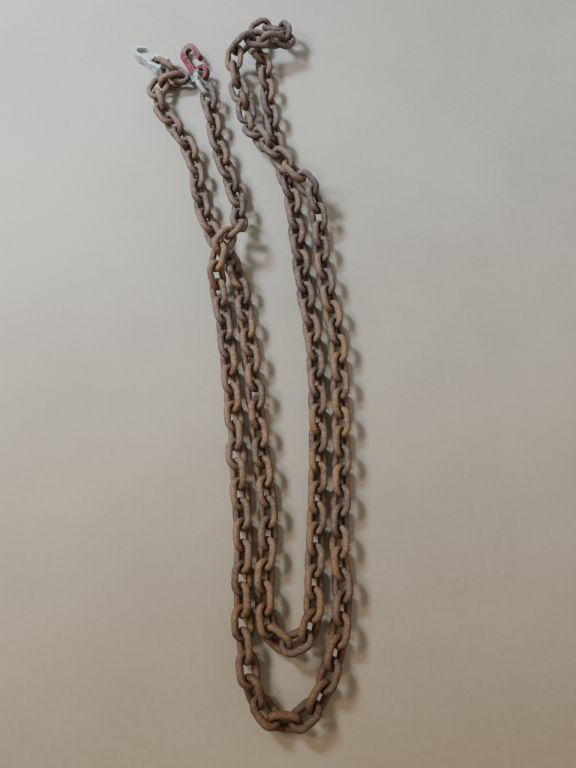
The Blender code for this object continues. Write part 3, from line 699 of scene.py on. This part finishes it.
def chain_tree():
    """A tree that hangs a copy of the link on each point and gives each copy its own tint."""
    tree, inputs = new_tree("linked_chain", {
        "Link": "NodeSocketObject", "Seed": "NodeSocketInt", **SKIN_INPUTS})
    points = inputs["Geometry"]
    link = points.node("GeometryNodeObjectInfo", {}, {"Object": inputs["Link"]}, "Geometry")
    turn = points.node("GeometryNodeInputNamedAttribute", {"data_type": "QUATERNION"},
                       {"Name": "turn"})
    placed = points.node("GeometryNodeInstanceOnPoints", {}, {
        "Points": points, "Instance": link, "Rotation": turn})
    tint = points.node("FunctionNodeRandomValue", {"data_type": "FLOAT"},
                       {"Seed": inputs["Seed"]}, "Value_001")
    tinted = store(placed, "tint", tint, "INSTANCE")
    finish_skin(tinted.node("GeometryNodeRealizeInstances", {}, {"Geometry": tinted}), inputs)
    return tree


def grown(name, mesh, tree, values):
    """The mesh that a tree makes of a mesh, as a new piece."""
    piece = in_scene(name, mesh)
    modifier = piece.modifiers.new("growth", "NODES")
    modifier.node_group = tree
    for entry in tree.interface.items_tree:
        if entry.in_out == "INPUT" and entry.name in values:
            modifier[entry.identifier] = values[entry.name]
    made = evaluated_mesh(piece)
    piece.modifiers.remove(modifier)
    piece.data = made
    return piece


# Some links are turned over and some end for end, so that the welds lie on either side.
TURN_SEED = 7
TINT_SEED = 11
LUMP_SCALE = 160.0
PITTING = 0.0005

chance = random.Random(TURN_SEED)
points = bpy.data.meshes.new("link_points")
points.from_pydata([pose.translation for pose in link_poses], [], [])
turns = points.attributes.new("turn", "QUATERNION", "POINT")
for entry, pose in zip(turns.data, link_poses):
    turn = pose.to_quaternion()
    if chance.random() < 0.5:
        turn = turn @ Quaternion((1, 0, 0), math.pi)
    if chance.random() < 0.5:
        turn = turn @ Quaternion((0, 0, 1), math.pi)
    entry.value = turn
one_link = in_scene("one_link", round_link("one_link"))
chain = grown("chain", points, chain_tree(), {
    "Link": one_link, "Seed": TINT_SEED, "Scale": LUMP_SCALE, "Depth": PITTING,
    "Material": rusty_steel()})
bpy.data.objects.remove(one_link, do_unlink=True)
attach(chain, "root")
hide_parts(*runs)


# The slip hook, its pin and cotter, and the coupling link: drop forgings, hot-dip galvanised.
# The zinc has weathered to a dull pale grey-blue with whiter rubbed spots, and rust from the
# chain has stained the hollows. Each solid is meshed again, rounded at its edges and lumped.
FORGED_LUMP_SCALE = 130.0
EDGE_BLURRING = 6
EDGE_GAIN = 3000.0
THIN_FROM = 0.30
THIN_OVER = 0.30
WHITE_ZINC = (0.74, 0.82, 0.83, 1)
RUBBED_ZINC = (0.76, 0.80, 0.80, 1)
RUST_STAIN = (0.22, 0.17, 0.14, 1)


def forged_tree():
    """A tree that stores how far each point stands out from those around it."""
    tree, inputs = new_tree("forged_skin", SKIN_INPUTS)
    solid = inputs["Geometry"]
    position = solid.node("GeometryNodeInputPosition", {}, {})
    blurred = solid.node("GeometryNodeBlurAttribute", {"data_type": "FLOAT_VECTOR"},
                         {"Value": position, "Iterations": EDGE_BLURRING})
    apart = solid.node("ShaderNodeVectorMath", {"operation": "SUBTRACT"},
                       {0: position, 1: blurred})
    normal = solid.node("GeometryNodeInputNormal", {}, {})
    out = solid.node("ShaderNodeVectorMath", {"operation": "DOT_PRODUCT"},
                     {0: apart, 1: normal}, "Value")
    finish_skin(store(solid, "edge", out), inputs)
    return tree


def thin_towards_the_end(mesh, solid, share):
    """Draws a plate down to this share of its thickness, from its eyes to its far end."""
    face = max(solid.polygons, key=lambda polygon: polygon.area)
    above = face.normal if face.normal.z > 0 else -face.normal
    joint = link_poses[0].translation
    end = max((vertex.co for vertex in mesh.vertices), key=lambda place: (place - joint).length)
    reach = (end - joint).length
    bottom = min(vertex.co.dot(above) for vertex in mesh.vertices)
    for vertex in mesh.vertices:
        along = (vertex.co - joint).dot(end - joint) / reach / reach
        drawn = min(max((along - THIN_FROM) / THIN_OVER, 0.0), 1.0)
        drawn = drawn * drawn * (3 - 2 * drawn)
        height = vertex.co.dot(above) - bottom
        vertex.co -= above * (height * (1 - share) * drawn)


def forging(node, material, cell, rounding, lumps, thinned=1.0):
    """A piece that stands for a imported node: its solid in small cells, smoothed and lumped."""
    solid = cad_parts[node].data
    carrier = in_scene(node + "_blank", merged_copy(node + "_forging", solid))
    cells = carrier.modifiers.new("cells", "REMESH")
    cells.mode = "VOXEL"
    cells.voxel_size = cell
    rounded = carrier.modifiers.new("rounding", "SMOOTH")
    rounded.factor = 0.5
    rounded.iterations = rounding
    mesh = evaluated_mesh(carrier)
    bpy.data.objects.remove(carrier, do_unlink=True)
    if thinned < 1.0:
        thin_towards_the_end(mesh, solid, thinned)
    piece = grown(node + "_forging", mesh, forged, {
        "Scale": FORGED_LUMP_SCALE, "Depth": lumps, "Material": material})
    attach(piece, "root")
    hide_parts(node)


def galvanised(name, bright, dark):
    material, shader, place = new_material(name, 0.35, 0.45)
    up = place.attribute("up")
    edge = place.attribute("edge") * EDGE_GAIN
    broad = place.noise(60.0, 3.0)
    blotch = place.noise(170.0, 5.0, 0.6)
    grain = place.noise(900.0, 5.0, 0.6)
    zinc = blotch.step(0.36, 0.66).mix(dark, bright)
    zinc = ((broad - 0.46) * 4.0 + (up - 0.4) * 0.7).mix(zinc, WHITE_ZINC)
    zinc = (edge.step(0.10, 0.9) * 0.55).mix(zinc, RUBBED_ZINC)
    stain = (grain * 0.5 + blotch * 0.5 - edge * 0.25).step(0.50, 0.66)
    zinc = (stain * 0.45).mix(zinc, RUST_STAIN)
    roughness = 0.55 - (broad - 0.5) * 0.4 + stain * 0.2
    finish_material(shader, zinc, roughness, grain * 0.4 + blotch, 0.0003)
    return material


forged = forged_tree()
hook_zinc = galvanised("galvanised_hook_look", (0.58, 0.66, 0.67, 1), (0.34, 0.40, 0.42, 1))
forging("slip_hook", hook_zinc, cell=0.0008, rounding=26, lumps=0.0004,
        thinned=0.65)
forging("slip_hook_pin", hook_zinc, cell=0.0005, rounding=2, lumps=0.0001)
forging("cotter_pin", hook_zinc, cell=0.0003, rounding=2, lumps=0.0)
link_zinc = galvanised("galvanised_coupling_look", (0.30, 0.34, 0.36, 1), (0.13, 0.15, 0.16, 1))
for node in ("coupler_half_upper", "coupler_half_lower"):
    forging(node, link_zinc, cell=0.0006, rounding=5, lumps=0.0003)
for node in ("coupler_pin", "coupler_bushing"):
    forging(node, link_zinc, cell=0.0005, rounding=2, lumps=0.0001)


# The grab hook: a drop forging under one coat of red paint. The paint has faded to a dusty pink,
# and it has rubbed off to grey-brown steel along the edges and on the upper back.
DARK_RED = (0.065, 0.006, 0.012, 1)
FADED_RED = (0.235, 0.026, 0.040, 1)
PINK_DUST = (0.46, 0.19, 0.21, 1)
BARE_STEEL = (0.15, 0.105, 0.090, 1)
RUBBED_STEEL = (0.36, 0.29, 0.25, 1)


def worn_red():
    material, shader, place = new_material("worn_red_look", 0.0, 0.25)
    up = place.attribute("up")
    edge = place.attribute("edge") * EDGE_GAIN
    broad = place.noise(45.0, 3.0)
    blotch = place.noise(160.0, 5.0, 0.62)
    grain = place.noise(800.0, 5.0, 0.6)
    paint = (broad * 0.5 + blotch * 0.5).step(0.42, 0.58).mix(DARK_RED, FADED_RED)
    paint = ((up - 0.4) * 0.75 * (blotch - 0.1)).mix(paint, PINK_DUST)
    back = place.part("Y").step(0.635, 0.675)
    bare = (blotch * 0.9 + edge * 0.40 + back * 0.36 - 0.02).step(0.52, 0.64)
    paint = (bare * 0.8).mix(paint, grain.step(0.4, 0.62).mix(BARE_STEEL, RUBBED_STEEL))
    roughness = 0.66 + bare * 0.16 + (grain - 0.5) * 0.2
    finish_material(shader, paint, roughness, grain * 0.3 + blotch - bare * 0.5, 0.0003)
    return material


forging("grab_hook", worn_red(), cell=0.0007, rounding=26, lumps=0.0004)


# The stage: a pale floor under soft light, with painted shade and painted warm light that darken
# and warm it towards the near end. The largest lamp is a cool window high on the
# left, beyond the hook end. A weaker warm one stands beside the middle, and a faint one fills
# the shadows from the right.
FLOOR_SIZE = 8.0
DULL_FLOOR = (0.52, 0.50, 0.45, 1)
PALE_FLOOR = (0.62, 0.60, 0.55, 1)
NEAR_FLOOR_PAINTED_SHADE = (0.75, 0.57, 0.40, 1)


def floor_material():
    material, shader, place = new_material("plain_floor", 0.0, 0.3)
    tone = place.noise(2.2, 4.0, 0.6)
    fine = place.noise(90.0, 5.0)
    colour = (tone * 0.7 + fine * 0.3).step(0.3, 0.7).mix(DULL_FLOOR, PALE_FLOOR)
    # Painted shade and warm light: the floor turns darker and warmer towards the near end.
    near_end = 1.0 - place.part("Y").step(-1.2, 0.75)
    colour = near_end.mix(colour, NEAR_FLOOR_PAINTED_SHADE, "MULTIPLY")
    finish_material(shader, colour, 0.6 + fine * 0.25, fine, 0.0002)
    return material


half = FLOOR_SIZE / 2
floor_mesh = bpy.data.meshes.new("floor")
floor_mesh.from_pydata([(-half, -half, 0), (half, -half, 0), (half, half, 0), (-half, half, 0)],
                       [], [(0, 1, 2, 3)])
floor_mesh.materials.append(floor_material())
floor = in_scene("floor", floor_mesh)


def soft_lamp(name, place, aim, size, power, colour):
    lamp = bpy.data.lights.new(name, "AREA")
    lamp.shape = "SQUARE"
    lamp.size = size
    lamp.energy = power
    lamp.color = colour
    carrier = in_scene(name, lamp)
    carrier.location = place
    carrier.rotation_euler = (Vector(aim) - Vector(place)).to_track_quat("-Z", "Y").to_euler()


soft_lamp("window", (-1.4, 1.1, 1.75), (0, 0.3, 0), 0.45, 61, (0.72, 0.88, 1.0))
soft_lamp("lamp", (-1.35, 0.1, 1.7), (0.1, 0.0, 0), 0.4, 20, (1.0, 0.86, 0.72))
soft_lamp("fill", (1.9, 0.4, 1.1), (0.1, 0.1, 0), 1.0, 6, (1.0, 0.88, 0.76))
sky = bpy.data.worlds.new("studio")
sky.use_nodes = True
sky.node_tree.nodes["Background"].inputs["Color"].default_value = (1.0, 0.94, 0.86, 1)
sky.node_tree.nodes["Background"].inputs["Strength"].default_value = 0.30
bpy.context.scene.world = sky


# The photograph's viewpoint: a hand-held camera a little over a metre above the floor, looking
# steeply down at the near half of the chain. Its place was measured in the route's own frame.
CAMERA_PLACE = (0.12, -0.46, 1.08)
CAMERA_TILT = 16.3
FOCAL_LENGTH = 27.05
FILM_HEIGHT = 36.0

lens = bpy.data.cameras.new("viewpoint")
lens.lens = FOCAL_LENGTH
lens.sensor_width = FILM_HEIGHT
lens.sensor_fit = "AUTO"
viewpoint = in_scene("viewpoint", lens)
viewpoint.location = to_frame @ Vector(CAMERA_PLACE)
viewpoint.rotation_euler = (math.radians(CAMERA_TILT), 0, 0)
bpy.context.scene.camera = viewpoint
